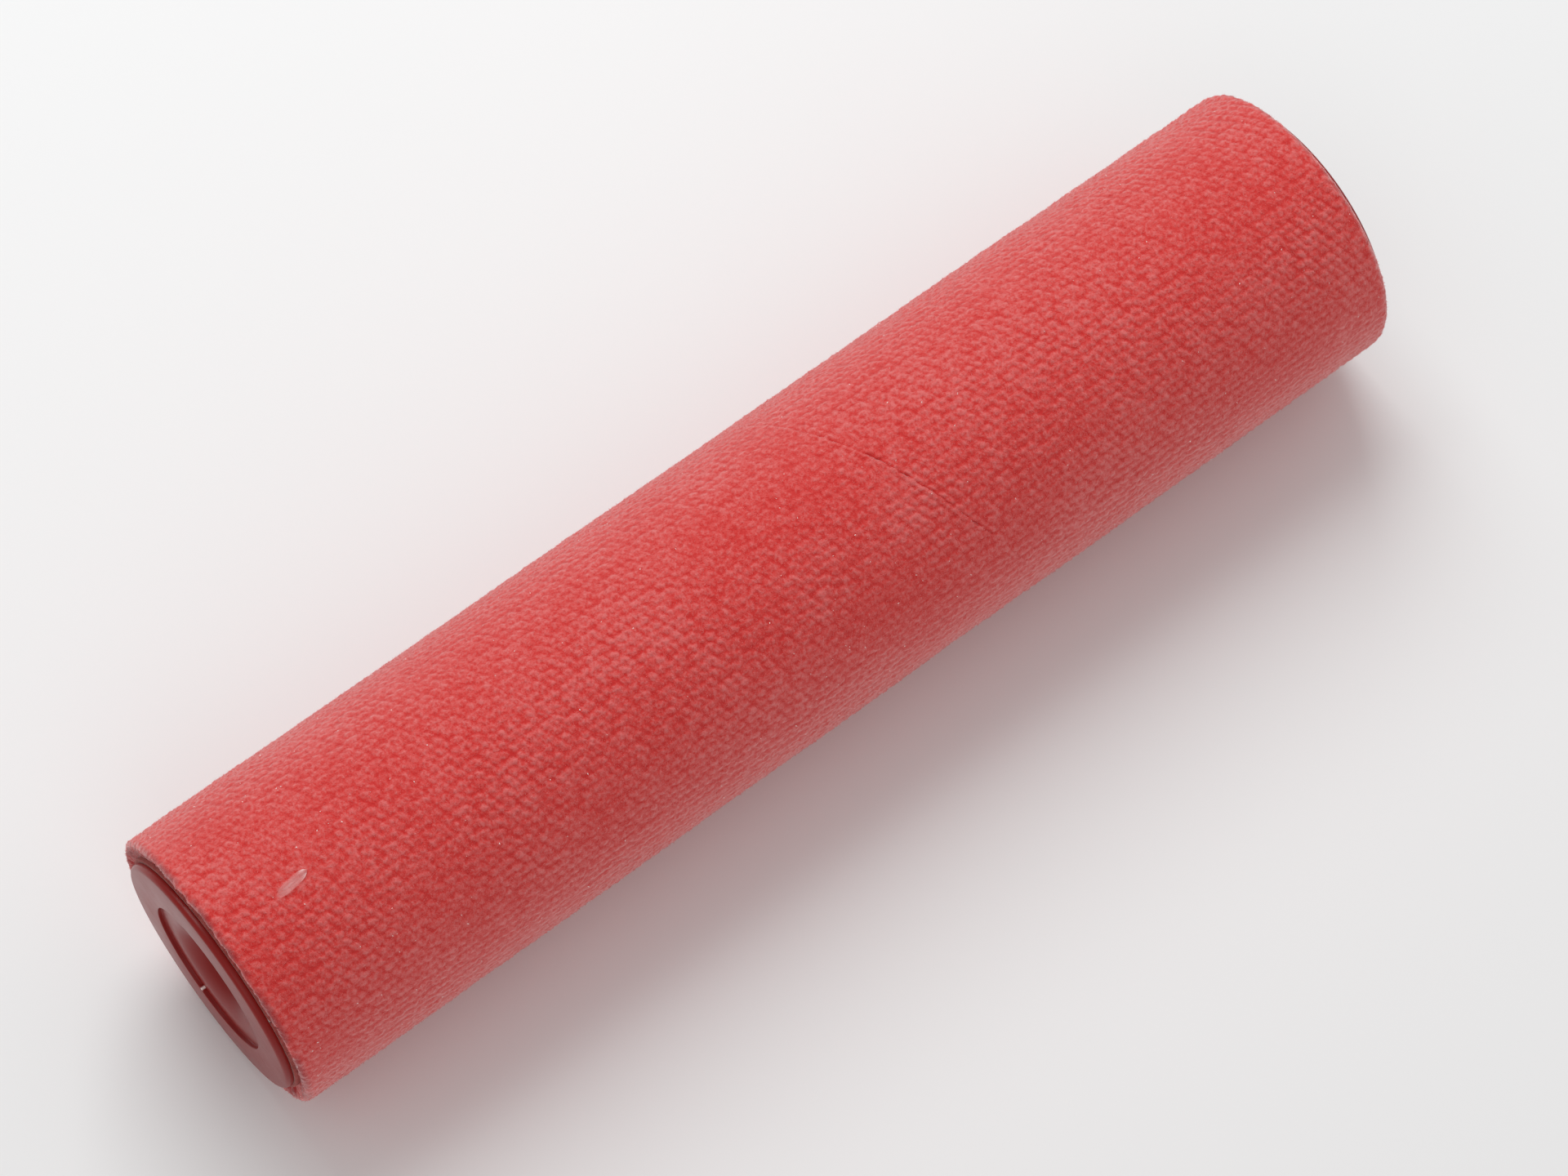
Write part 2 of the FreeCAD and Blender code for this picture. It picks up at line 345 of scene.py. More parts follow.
cover_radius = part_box("fabric_cover")[1].z
BACKING = 0.6 * MM
PILE_FOOT = core_radius + BACKING
STITCH_ROUND = 1.8 * MM
STITCH_ALONG = 1.85 * MM
NUB_HEIGHT = 0.38 * MM
COLUMNS = 176
WALL_STEPS = 4
ROWS_PER_PILE_TURN = 396
PILE_TOP = cover_radius - 0.10 * MM
NEAR_ROUND = 1.1 * MM
FAR_ROUND = 2.0 * MM


def backing_knit(bench):
    """The ground of the velour: fine red yarn with its glue showing through in places."""
    place = bench.object_place()
    loops = bench.node("ShaderNodeTexVoronoi", {}, {"Vector": place, "Scale": 1400.0, "Randomness": 0.6})
    glue = bench.noise(place, 500.0, 3.0)
    yarn = bench.blend(loops, (0.50, 0.10, 0.085, 1.0), (0.24, 0.022, 0.018, 1.0))
    colour = bench.blend(glue * 0.4, yarn, (0.62, 0.30, 0.27, 1.0))
    return {"Base Color": colour, "Normal": bench.bumped(loops, 0.7, 0.15 * MM)}


backing_material = finish_material("backing_knit", backing_knit, {"Roughness": 0.85})
backing = wound_strip(
    "cover_backing", SEAM_PHASE, PITCH - 0.05 * MM, core_radius, PILE_FOOT - SKIN, backing_material
)
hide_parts("fabric_cover")


def brushed_over(bench, depth, rounding):
    """How far the pile has sunk at a depth in from a cut end, for a rounding of that radius."""
    short = bench.maths("MAXIMUM", rounding - depth, 0.0)
    return rounding - bench.maths("SQRT", rounding * rounding - short * short)


# Where the seam is parted and where its lip stands up, in turns from the middle of the sleeve, and the size
# of the groove and the lip. The reach of a nub and of the painted sheen on its top is in stitches.
SEAM_SLOW_STRAY = 1.2 * MM
SEAM_QUICK_STRAY = 0.9 * MM
SEAM_PARTED_TURN = 0.05
SEAM_PARTED_REACH = 0.13
GROOVE_WIDTH = 0.38 * MM
GROOVE_DEPTH = 0.38 * MM
LIP_FROM_SEAM = 0.62 * MM
LIP_WIDTH = 0.40 * MM
LIP_HEIGHT = 0.30 * MM
LIP_TURN = 0.03
LIP_REACH = 0.15
MATTED_WIDTH = 0.28 * MM
STITCH_SWAY = 0.22
NUB_REACH = 0.36
RELIEF_LIGHT_REACH = 0.74
USUAL_RELIEF_LIGHT = 0.56
CROWDED_COLUMNS = 1.6
FINE_RELIEF = 0.20 * MM
SWELL_RELIEF = 0.22 * MM
BROAD_RELIEF = 0.35 * MM
FRAY_REACH = 2.0 * MM
UNDERCUT = 0.8 * MM


def waves_along(bench, turn, waves):
    """Smooth noise along the seam, with so many waves to a turn."""
    return bench.node(
        "ShaderNodeTexNoise", {"noise_dimensions": "1D"}, {"W": turn * waves, "Scale": 1.0, "Detail": 1.0}
    )


def seam_wander(bench, turn):
    """How far the seam strays from a true helix at one of its own turns."""
    slow = waves_along(bench, turn, 9.0) - 0.5
    quick = waves_along(bench, turn, 90.0) - 0.5
    return slow * SEAM_SLOW_STRAY + quick * SEAM_QUICK_STRAY


def seam_opening(bench, turn):
    """How open the seam is at one of its own turns: most of all half way along the sleeve, and never for
    more than a few stitches on end."""
    patches = bench.clamped(waves_along(bench, turn, 34.0) * 3.0 - 0.8)
    gaps = bench.clamped(waves_along(bench, turn, 105.0) * 4.0 - 1.3)
    parted = 0.12 + 0.88 * bench.bell(turn - SEAM_PARTED_TURN, SEAM_PARTED_REACH, 4.0)
    return parted * patches * gaps


def wind_pile(bench, inputs):
    """One turn of the pile: a top surface of nubs between two walls, closed along the backing.
    Columns run over the top, down the far wall, back along the backing and up the near wall."""
    columns = inputs["Columns"]
    walls = inputs["Wall Steps"]
    loop = columns + walls * 2.0 + 3.0
    grid = bench.node(
        "GeometryNodeMeshGrid",
        {},
        {"Size X": 1.0, "Size Y": 1.0, "Vertices X": inputs["Rows"], "Vertices Y": loop + 1.0},
    )
    along, across, _ = bench.parts(grid.output("UV Map"))
    column = bench.maths("FLOORED_MODULO", bench.maths("ROUND", across * loop), loop)
    off_top = column > columns + 0.5
    far_corner = columns + walls + 1.0
    up_wall = column > far_corner + 1.5
    far_side = (1.0 - (column > far_corner + 0.5)) * (column > columns * 0.5)
    from_far = columns - column
    step = bench.maths("MINIMUM", column, from_far) * (1.0 - off_top)
    down = bench.clamped((column - columns) / (walls + 1.0)) * (1.0 - up_wall)
    up = bench.clamped((loop - column) / (walls + 1.0)) * up_wall
    sunk = down + up

    turn = inputs["First Turn"] + along * (inputs["Last Turn"] - inputs["First Turn"])
    half = inputs["Half Length"]
    middle = (turn + inputs["Phase"]) * inputs["Pitch"]
    edge_below = middle - inputs["Pitch"] * 0.5 + seam_wander(bench, turn - 1.0)
    edge_above = middle + inputs["Pitch"] * 0.5 + seam_wander(bench, turn)
    low = bench.maths("MAXIMUM", edge_below, half * -1.0)
    high = bench.maths("MINIMUM", edge_above, half)
    spacing = (high - low) / (columns - 2.0 * CROWDED_COLUMNS)
    inset = spacing * (step - CROWDED_COLUMNS * (1.0 - bench.maths("EXPONENT", step * -0.5)))
    place = bench.node("ShaderNodeMix", {}, {0: far_side, 2: low + inset, 3: high - inset})
    angle = turn * math.tau
    sine = bench.maths("SINE", angle)
    cosine = bench.maths("COSINE", angle)
    top = inputs["Top Radius"]

    stitch = bench.vector(
        angle * top / inputs["Stitch Round"], (place - middle) / inputs["Stitch Along"], inputs["Seed"]
    )
    surface = bench.vector(top * sine, place, top * cosine)
    wander = bench.noise(surface, 420.0, 1.0).output("Color")
    sway = bench.node("ShaderNodeVectorMath", {"operation": "SUBTRACT"}, {0: wander, 1: (0.5, 0.5, 0.5)})
    sway = bench.stretched(sway, (STITCH_SWAY, STITCH_SWAY, 0.0))
    stitch = bench.node("ShaderNodeVectorMath", {"operation": "ADD"}, {0: stitch, 1: sway})
    nubs = bench.node(
        "ShaderNodeTexVoronoi",
        {"voronoi_dimensions": "2D", "feature": "SMOOTH_F1"},
        {"Vector": stitch, "Scale": 1.0, "Smoothness": 0.12, "Randomness": 0.38},
    )
    tuft, _, _ = bench.parts(nubs.output("Color"))
    nub = bench.bell(nubs, NUB_REACH) * (0.6 + tuft * 0.4)
    # Painted sheen on the top of each nub, falling to painted shade between the nubs.
    crown = bench.clamped(1.0 - (nubs / RELIEF_LIGHT_REACH) ** 3.0)
    by_seam = bench.maths("MINIMUM", place - edge_below, edge_above - place)
    matted = bench.bell(by_seam, MATTED_WIDTH)
    nub = nub * (1.0 - matted) + matted * 0.4
    combed = bench.clamped(bench.noise(surface, 52.0, 1.0) * 3.4 - 1.1)
    nub = nub * (0.6 + combed * 0.5)
    crown = USUAL_RELIEF_LIGHT + (crown - USUAL_RELIEF_LIGHT) * (0.62 + combed * 0.45)
    fine = bench.noise(surface, 1500.0, 2.0) - 0.5
    swell = bench.noise(surface, 170.0, 2.0) - 0.5
    broad = bench.noise(surface, 38.0, 1.0) - 0.5

    near_end = brushed_over(bench, place + half, inputs["Near Round"])
    far_end = brushed_over(bench, half - place, inputs["Far Round"])
    below = bench.bell(place - edge_below, GROOVE_WIDTH) * seam_opening(bench, turn - 1.0)
    above = bench.bell(edge_above - place, GROOVE_WIDTH) * seam_opening(bench, turn)
    groove = below + above
    lip = bench.bell(edge_above - place - LIP_FROM_SEAM, LIP_WIDTH)
    ridge = lip * (0.10 + 0.75 * bench.bell(turn - LIP_TURN, LIP_REACH, 4.0))
    crest = (
        top + inputs["Nub Height"] * (nub - 0.45) + fine * FINE_RELIEF + swell * SWELL_RELIEF
        + broad * BROAD_RELIEF - near_end - far_end - groove * GROOVE_DEPTH + ridge * LIP_HEIGHT
    )
    radius = crest + sunk * (inputs["Foot Radius"] - crest)
    fray = bench.noise(bench.vector(radius * sine, place, radius * cosine), 620.0, 3.0) - 0.5
    shreds = bench.clamped(bench.noise(bench.vector(sine, place, cosine), 9.0, 2.0) * 3.0 - 1.2)
    cut = (place > half - SKIN) - (place * -1.0 > half - SKIN)
    bulge = bench.maths("SINE", sunk * math.pi) * 0.5 + 0.7
    torn = (fray - shreds * 0.12) * bulge * (0.6 + shreds) * FRAY_REACH
    ragged = place + cut * (torn - sunk * UNDERCUT)
    position = bench.vector(radius * sine, ragged, radius * cosine)
    shaped = bench.node("GeometryNodeSetPosition", {}, {"Geometry": grid, "Position": position})
    # The second mark paints light into the pile's colour: painted sheen on the nub tops and the seam's lip,
    # painted shade between the nubs, in the seam's groove and on the walls.
    marks = (
        ("nub", nub * (1.0 - sunk)),
        ("crown", (crown + ridge * 0.35) * (1.0 - sunk) - groove * 0.9),
        ("tuft", tuft),
        ("fur", (1.0 - off_top) + bench.maths("ABSOLUTE", cut) * 0.4),
    )
    for label, value in marks:
        shaped = bench.node(
            "GeometryNodeStoreNamedAttribute",
            {"data_type": "FLOAT", "domain": "POINT"},
            {"Geometry": shaped, "Name": label, "Value": value},
        )
    return shaped


# Stops of the pile's colour ramp. The deep end is painted shade and the pink end is painted sheen, with
# random tone of the yarn over the whole ramp.
DEEP_RED = (0.560, 0.008, 0.006, 1.0)
BODY_RED = (0.610, 0.022, 0.018, 1.0)
PALE_RED = (0.650, 0.060, 0.054, 1.0)
PINK_TIP = (0.700, 0.130, 0.124, 1.0)
# Painted shade in patches over the last stretch of each cut end, where the pile meets the caps.
PAINTED_END_SHADE = (0.190, 0.012, 0.018, 1.0)
END_SHADE_DEPTH = 1.4 * MM
BRUSHED_SHEEN = {"Sheen Weight": 1.0, "Sheen Roughness": 0.5, "Sheen Tint": (1.0, 0.66, 0.65, 1.0)}


def red_velour(bench):
    """Red synthetic pile: random tone in the yarn, painted shade between the nubs, in the seam's groove and
    on the cut walls, painted sheen on the nub tips and the seam's lip, fibres finer than the mesh in the
    bump, and painted shade in patches along the cut ends, where the pile meets the caps."""
    place = bench.object_place()
    nub = bench.mark("nub")
    crown = bench.mark("crown")
    tuft = bench.mark("tuft")
    grain = bench.noise(place, 1450.0, 2.0, 0.55)
    curls = bench.noise(place, 3600.0, 2.0, 0.6)
    lay = bench.noise(place, 60.0, 2.0)
    # Painted sheen and shade from the pile's mark, plus random tone of the yarn.
    tips = bench.clamped(
        crown * 0.95 - 0.18 + (grain - 0.5) * 1.7 + (curls - 0.5) * 0.8 + (tuft - 0.5) * 0.2
        + (lay - 0.5) * 0.4
    )
    stops = [(0.00, DEEP_RED), (0.30, BODY_RED), (0.60, PALE_RED), (1.00, PINK_TIP)]
    colour = bench.node("ShaderNodeValToRGB", {"stops": stops}, {0: tips})
    _, along, _ = bench.parts(place)
    # Painted shade in patches along each cut end of the pile.
    to_cut = (half_length - bench.maths("ABSOLUTE", along)) / END_SHADE_DEPTH
    painted_end_shade = bench.clamped(1.0 - to_cut) * bench.clamped(bench.noise(place, 230.0, 2.0) * 5.0 - 1.7)
    colour = bench.blend(painted_end_shade * 0.8, colour, PAINTED_END_SHADE)
    height = nub * 0.3 + grain + curls * 0.35
    bump = bench.bumped(height, 0.7, 0.3 * MM)
    return {"Base Color": colour, "Roughness": 0.92 - curls * 0.2, "Normal": bump}


velour = finish_material("red_velour", red_velour, {"Specular IOR Level": 0.3, **BRUSHED_SHEEN})
pile_winder = Machine(
    "wind_pile",
    wind_pile,
    {
        "Rows": 2, "Columns": 2, "Wall Steps": 1, "First Turn": 0.0, "Last Turn": 0.0, "Phase": 0.0,
        "Half Length": 0.0, "Pitch": 0.0, "Foot Radius": 0.0, "Top Radius": 0.0, "Near Round": 0.0,
        "Far Round": 0.0, "Stitch Round": 0.0, "Stitch Along": 0.0, "Nub Height": 0.0, "Seed": 0.0,
        "Material": velour,
    },
)

# The pile is cut into lengths on the underside, each a hair short of a turn so that its ends don't meet.
HAIRLINE = 0.0001
first_turn, last_turn = turns_reached(PITCH, SEAM_PHASE)
joins = [first_turn, -1.5, -0.5, 0.5, 1.5, last_turn]
pile_turns = []
for number, (start, stop) in enumerate(zip(joins, joins[1:]), start=1):
    pile = pile_winder.make(
        f"pile_turn_{number}",
        {
            "Rows": int((stop - start) * ROWS_PER_PILE_TURN) + 1, "Columns": COLUMNS,
            "Wall Steps": WALL_STEPS, "First Turn": start, "Last Turn": stop - HAIRLINE,
            "Phase": SEAM_PHASE, "Half Length": half_length, "Pitch": PITCH, "Foot Radius": PILE_FOOT,
            "Top Radius": PILE_TOP, "Near Round": NEAR_ROUND, "Far Round": FAR_ROUND,
            "Stitch Round": STITCH_ROUND, "Stitch Along": STITCH_ALONG, "Nub Height": NUB_HEIGHT,
            "Seed": 3.0, "Material": velour,
        },
    )
    close_up(pile, 60, merge=2e-6)
    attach(pile, "roller")
    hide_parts("fabric_cover")
    pile_turns.append(pile)


# --- Loose fibres of the pile ------------------------------------------------------------------------
# Single filaments that stand up out of the nubs and fray from the cut ends. Each is a thin spike rooted in
# the pile. A few are pale, nearly white: lint, and painted glints of the pile.

def sow_fibres(bench, inputs):
    """Scatters spikes over the pile wherever it carries fur, leaning every way."""
    pile = bench.node("GeometryNodeObjectInfo", {}, {"Object": inputs["Pile"]}, output="Geometry")
    fur = bench.node("GeometryNodeInputNamedAttribute", {"data_type": "FLOAT"}, {"Name": "fur"})
    points = bench.node(
        "GeometryNodeDistributePointsOnFaces",
        {"distribute_method": "RANDOM"},
        {"Mesh": pile, "Density": fur * inputs["Density"], "Seed": inputs["Seed"]},
    )
    spike = bench.node(
        "GeometryNodeMeshCone",
        {"fill_type": "NGON"},
        {
            "Vertices": 3, "Side Segments": 1, "Fill Segments": 1, "Radius Top": 0.0,
            "Radius Bottom": inputs["Thickness"] * 0.5, "Depth": inputs["Length"],
        },
    )
    rooted = bench.vector(0.0, 0.0, inputs["Length"] * -0.15)
    spike = bench.node("GeometryNodeTransform", {}, {"Geometry": spike, "Translation": rooted})
    lean = bench.node(
        "FunctionNodeRandomValue",
        {"data_type": "FLOAT_VECTOR"},
        {"Min": (-1.3, -1.3, -3.14), "Max": (1.3, 1.3, 3.14), "Seed": inputs["Seed"]},
    )
    stand = bench.node(
        "FunctionNodeRotateRotation",
        {"rotation_space": "LOCAL"},
        {"Rotation": points.output("Rotation"), "Rotate By": lean},
    )
    reach = bench.node(
        "FunctionNodeRandomValue",
        {"data_type": "FLOAT"},
        {"Min_001": 0.55, "Max_001": 1.25, "Seed": inputs["Seed"]},
        output="Value_001",
    )
    return bench.node(
        "GeometryNodeInstanceOnPoints",
        {},
        {"Points": points, "Instance": spike, "Rotation": stand, "Scale": bench.vector(1.0, 1.0, reach)},
    )


def fibre_red(bench):
    """The same dyed yarn as the pile, seen one filament at a time."""
    place = bench.object_place()
    dye = bench.noise(place, 900.0, 2.0, 0.7)
    stops = [
        (0.30, (0.640, 0.050, 0.045, 1.0)),
        (0.50, (0.720, 0.120, 0.114, 1.0)),
        (0.70, (0.800, 0.260, 0.255, 1.0)),
    ]
    colour = bench.node("ShaderNodeValToRGB", {"stops": stops}, {0: dye})
    return {"Base Color": colour}


def glint_and_lint_nylon(bench):
    """Pale filament, nearly white with a little pink: lint, and painted glints of the pile."""
    place = bench.object_place()
    tint = bench.noise(place, 700.0, 1.0)
    colour = bench.blend(tint, (0.98, 0.90, 0.88, 1.0), (0.95, 0.74, 0.70, 1.0))
    return {"Base Color": colour}


fibre_material = finish_material(
    "velour_fibre", fibre_red, {"Roughness": 0.85, "Specular IOR Level": 0.25, **BRUSHED_SHEEN}
)
glint_and_lint_fibre_material = finish_material(
    "glint_and_lint_fibre", glint_and_lint_nylon, {"Roughness": 0.3, "Specular IOR Level": 0.7}
)
fibre_sower = Machine(
    "sow_fibres",
    sow_fibres,
    {
        "Pile": pile_turns[0], "Density": 0.0, "Seed": 0, "Thickness": 0.0, "Length": 0.0,
        "Material": fibre_material,
    },
)


def fibres(name, pile, density, seed, thickness, length, material):
    """Fibres sown on one turn of the pile. The density is in fibres to the square metre."""
    tuft = fibre_sower.make(
        name,
        {
            "Pile": pile, "Density": density, "Seed": seed, "Thickness": thickness, "Length": length,
            "Material": material,
        },
    )
    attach(tuft, "roller")


FIBRE_DENSITY = 3.0e6
FIBRE_THICKNESS = 0.075 * MM
FIBRE_LENGTH = 0.50 * MM
# Pale fibres, nearly white: lint, and painted glints of the pile.
GLINT_AND_LINT_DENSITY = 1.1e4
GLINT_AND_LINT_THICKNESS = 0.22 * MM
GLINT_AND_LINT_LENGTH = 0.36 * MM
for number, pile in enumerate(pile_turns, start=1):
    fibres(
        f"fibres_{number}", pile, FIBRE_DENSITY, 10 + number, FIBRE_THICKNESS, FIBRE_LENGTH, fibre_material
    )
    fibres(
        f"pale_fibres_{number}", pile, GLINT_AND_LINT_DENSITY, 20 + number, GLINT_AND_LINT_THICKNESS, GLINT_AND_LINT_LENGTH,
        glint_and_lint_fibre_material,
    )


# --- Stuck flake -------------------------------------------------------------------------------------
# A flake of clear film, a scrap of the wrapper, caught in the pile near one end. Its sides are pressed into
# the nubs and its tip stands up in a fold.

FLAKE_START = -112.4 * MM
FLAKE_END = -105.6 * MM
FLAKE_ROOT_ANGLE = 10.9
FLAKE_TURN = 1.9
FLAKE_HALF_WIDTH = 1.0 * MM
FLAKE_THICKNESS = 0.07 * MM
FLAKE_STEPS = 28
FLAKE_RIBS = 8


def flake_point(along, across, outer):
    """A point of the flake, from its root to its tip and from its left edge to its right."""
    width = FLAKE_HALF_WIDTH * (1.0 - abs(1.96 * along - 0.98) ** 2.6) ** 0.5
    angle = math.radians(FLAKE_ROOT_ANGLE - FLAKE_TURN * along) + across * width / cover_radius
    fold = max(0.0, along - 0.72) / 0.28
    lift = 0.10 * MM + 0.16 * MM * across * across + fold * (0.40 - 0.50 * abs(across)) * MM
    radius = cover_radius + lift - (0.0 if outer else FLAKE_THICKNESS)
    place = FLAKE_START + (FLAKE_END - FLAKE_START) * along + fold * 0.35 * MM * (1.0 - abs(across))
    return (radius * math.sin(angle), place, radius * math.cos(angle))


def clear_film(bench):
    """Clear film that shows the red under it, whitened along its creases, with a painted highlight where
    its tip folds up.
    """
    place = bench.object_place()
    crease = bench.noise(bench.stretched(place, (2500.0, 600.0, 2500.0)), 1.0, 2.0)
    colour = bench.blend(crease, (0.80, 0.28, 0.27, 1.0), (0.92, 0.52, 0.51, 1.0))
    # Painted highlight: the folded tip is painted near white.
    fold = bench.mark("fold")
    colour = bench.blend(fold, colour, (1.0, 0.86, 0.85, 1.0))
    alpha = 0.06 + crease * 0.50 * (1.0 - bench.mark("rim") * 0.9) + fold * 0.7
    return {"Base Color": colour, "Alpha": alpha, "Normal": bench.bumped(crease, 0.5, 0.1 * MM)}


film = finish_material("clear_film", clear_film, {"Roughness": 0.3, "IOR": 1.35})
flake_mesh = bpy.data.meshes.new("stuck_flake")
flake_points = [
    flake_point(i / FLAKE_STEPS, 2.0 * j / FLAKE_RIBS - 1.0, outer)
    for outer in (True, False)
    for i in range(FLAKE_STEPS + 1)
    for j in range(FLAKE_RIBS + 1)
]


def flake_corner(layer, i, j):
    """The number of the flake's point on a layer, at a step along it and a rib across it."""
    return layer * (FLAKE_STEPS + 1) * (FLAKE_RIBS + 1) + i * (FLAKE_RIBS + 1) + j


flake_faces = []
for i in range(FLAKE_STEPS):
    for j in range(FLAKE_RIBS):
        for layer in (0, 1):
            flake_faces.append(tuple(
                flake_corner(layer, i + a, j + b) for a, b in ((0, 0), (1, 0), (1, 1), (0, 1))
            ))
    for j in (0, FLAKE_RIBS):
        flake_faces.append(tuple(
            flake_corner(layer, i + a, j) for layer, a in ((0, 0), (0, 1), (1, 1), (1, 0))
        ))
for j in range(FLAKE_RIBS):
    for i in (0, FLAKE_STEPS):
        flake_faces.append(tuple(
            flake_corner(layer, i, j + b) for layer, b in ((0, 0), (0, 1), (1, 1), (1, 0))
        ))
flake_mesh.from_pydata(flake_points, [], flake_faces)
flake_mesh.materials.append(film)
# Painted highlight on the folded tip, strongest towards its edges.
painted_fold_highlight = flake_mesh.attributes.new("fold", "FLOAT", "POINT")
rim = flake_mesh.attributes.new("rim", "FLOAT", "POINT")
for number in range(len(flake_points)):
    along = number // (FLAKE_RIBS + 1) % (FLAKE_STEPS + 1) / FLAKE_STEPS
    across = abs(2.0 * (number % (FLAKE_RIBS + 1)) / FLAKE_RIBS - 1.0)
    painted_fold_highlight.data[number].value = max(0.0, along - 0.7) / 0.3 * across ** 2
    rim.data[number].value = max(across ** 3, abs(2.0 * along - 1.0) ** 6)
flake = bpy.data.objects.new("stuck_flake", flake_mesh)
bpy.context.scene.collection.objects.link(flake)
close_up(flake, 60)
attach(flake, "roller")


# --- End caps ----------------------------------------------------------------------------------------
# One red injection moulding at each end, pressed into the core on crush ribs. The outer face is polished:
# a flat flange round a shallow recess that runs down a rounded funnel to the bearing's seat.

CAP_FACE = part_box("end_cap_far")[1].y
TURNED_STEPS = 192
# Radii, depths in from the outer face, and roundings, in millimetres.
FLANGE_RADIUS = 24.0
FLANGE_BACK = 1.6
RECESS_RADIUS = 15.2
RECESS_FLOOR = 0.85
PLATE_BACK = 2.45
SKIRT_OUTER = 22.15
SKIRT_INNER = 20.45
SKIRT_TIP = 21.35
SKIRT_END = 16.0
FUNNEL_ROUND = 6.0
FUNNEL_OUTER = 8.4
FUNNEL_OUTER_ROUND = 4.2
FUNNEL_END = 9.75
HUB_OUTER = 7.35
HUB_BORE = 5.55
HUB_END = 15.45
POCKET_RADIUS = 6.6
POCKET_FLOOR = 7.95
WEB_INNER = 7.0
WEB_OUTER = 21.0
WEB_FRONT = 1.65
WEB_END = 11.95
WEB_COUNT = 6
WEB_THICKNESS = 1.4
RIB_OUTER = 22.45
RIB_COUNT = 12
RIB_THICKNESS = 1.0
GATE_RADIUS = 0.9
GATE_MIDDLE = 15.75


def rounded(corners):
    """The points of a closed outline whose corners are (radius, depth, rounding), in millimetres."""
    points = []
    for number, (radius, depth, rounding) in enumerate(corners):
        corner = Vector((radius, depth))
        before = (Vector(corners[number - 1][:2]) - corner).normalized()
        after = (Vector(corners[(number + 1) % len(corners)][:2]) - corner).normalized()
        bend = before.angle(after)
        reach = rounding / math.tan(bend / 2)
        centre = corner + (before + after).normalized() * (rounding / math.sin(bend / 2))
        start, stop = corner + before * reach - centre, corner + after * reach - centre
        sweep = start.angle_signed(stop)
        steps = 4 if rounding < 1.0 else 20
        for step in range(steps + 1):
            spoke = start.copy()
            spoke.rotate(Matrix.Rotation(-sweep * step / steps, 2))
            points.append(centre + spoke)
    return points


def turned(name, corners):
    """A closed body of revolution about Y, drawn by radius and depth."""
    outline = rounded(corners)
    mesh = bmesh.new()
    rings = []
    for step in range(TURNED_STEPS):
        angle = math.tau * step / TURNED_STEPS
        rings.append([
            mesh.verts.new((r * MM * math.cos(angle), d * MM, r * MM * math.sin(angle))) for r, d in outline
        ])
    for ring, following in zip(rings, rings[1:] + rings[:1]):
        for number in range(len(outline)):
            mesh.faces.new((ring[number - 1], ring[number], following[number], following[number - 1]))
    return new_part(name, mesh)


def plate(name, corners, thickness, rounding):
    """A plate in the plane of the axis, drawn by radius and depth in millimetres, with broken edges."""
    mesh = bmesh.new()
    sides = [
        [mesh.verts.new((r * MM, d * MM, side * thickness * MM / 2)) for r, d in corners]
        for side in (-1, 1)
    ]
    mesh.faces.new(sides[0])
    mesh.faces.new(sides[1][::-1])
    for number in range(len(corners)):
        mesh.faces.new((sides[0][number - 1], sides[0][number], sides[1][number], sides[1][number - 1]))
    bmesh.ops.recalc_face_normals(mesh, faces=mesh.faces)
    bmesh.ops.bevel(
        mesh, geom=mesh.edges[:], offset=rounding * MM, segments=2, affect="EDGES", profile=0.5
    )
    return new_part(name, mesh)


def new_part(name, mesh):
    """An object from a bmesh, in the scene."""
    part = bpy.data.objects.new(name, bpy.data.meshes.new(name))
    mesh.to_mesh(part.data)
    mesh.free()
    bpy.context.scene.collection.objects.link(part)
    return part


def ring_of(bench, part, count):
    """Copies of an object turned about the axis."""
    shape = bench.node("GeometryNodeObjectInfo", {}, {"Object": part}, output="Geometry")
    line = bench.node("GeometryNodeMeshLine", {}, {"Count": count, "Offset": (0.0, 0.0, 0.0)})
    place = bench.node("GeometryNodeInputIndex")
    turn = bench.vector(0.0, place * math.tau / count, 0.0)
    return bench.node(
        "GeometryNodeInstanceOnPoints", {}, {"Points": line, "Instance": shape, "Rotation": turn}
    )


def join(bench, *shapes):
    """Several geometries as one."""
    joined = bench.tree.nodes.new("GeometryNodeJoinGeometry")
    for shape in shapes:
        bench.tree.links.new(shape.socket, joined.inputs[0])
    return Wire(bench, joined.outputs[0])


def mould_cap(bench, inputs):
    """The turned shell of a cap with its webs, its crush ribs and the stub of its gate."""
    return join(
        bench,
        ring_of(bench, inputs["Shell"], 1),
        ring_of(bench, inputs["Web"], inputs["Webs"]),
        ring_of(bench, inputs["Rib"], inputs["Ribs"]),
        ring_of(bench, inputs["Gate"], 1),
    )


def polished_red(bench):
    """Polished dark red plastic, handled: faint smears, hairline scuffs and the flow lines of moulding, and
    a painted glint on the stub of its gate.
    """
    place = bench.object_place()
    smear = bench.noise(place, 130.0, 3.0, 0.6)
    scuff = bench.clamped(bench.noise(bench.stretched(place, (300.0, 9.0, 5200.0)), 1.0, 2.0) * 8.0 - 5.0)
    flow = bench.noise(place, 45.0, 2.0)
    colour = bench.blend(flow, (0.225, 0.0075, 0.0060, 1.0), (0.280, 0.0105, 0.0080, 1.0))
    # Painted glint: the tip of the gate stub is painted near white.
    colour = bench.blend(bench.mark("snapped"), colour, (0.95, 0.80, 0.76, 1.0))
    peel = bench.noise(place, 420.0, 1.0) + bench.noise(place, 5200.0, 1.0) * 0.35 - scuff * 0.3
    bump = bench.bumped(peel, 0.16, 0.08 * MM)
    return {"Base Color": colour, "Roughness": 0.24 + smear * 0.14 + scuff * 0.15, "Normal": bump}


cap_plastic = finish_material("polished_red", polished_red, {"IOR": 1.34})

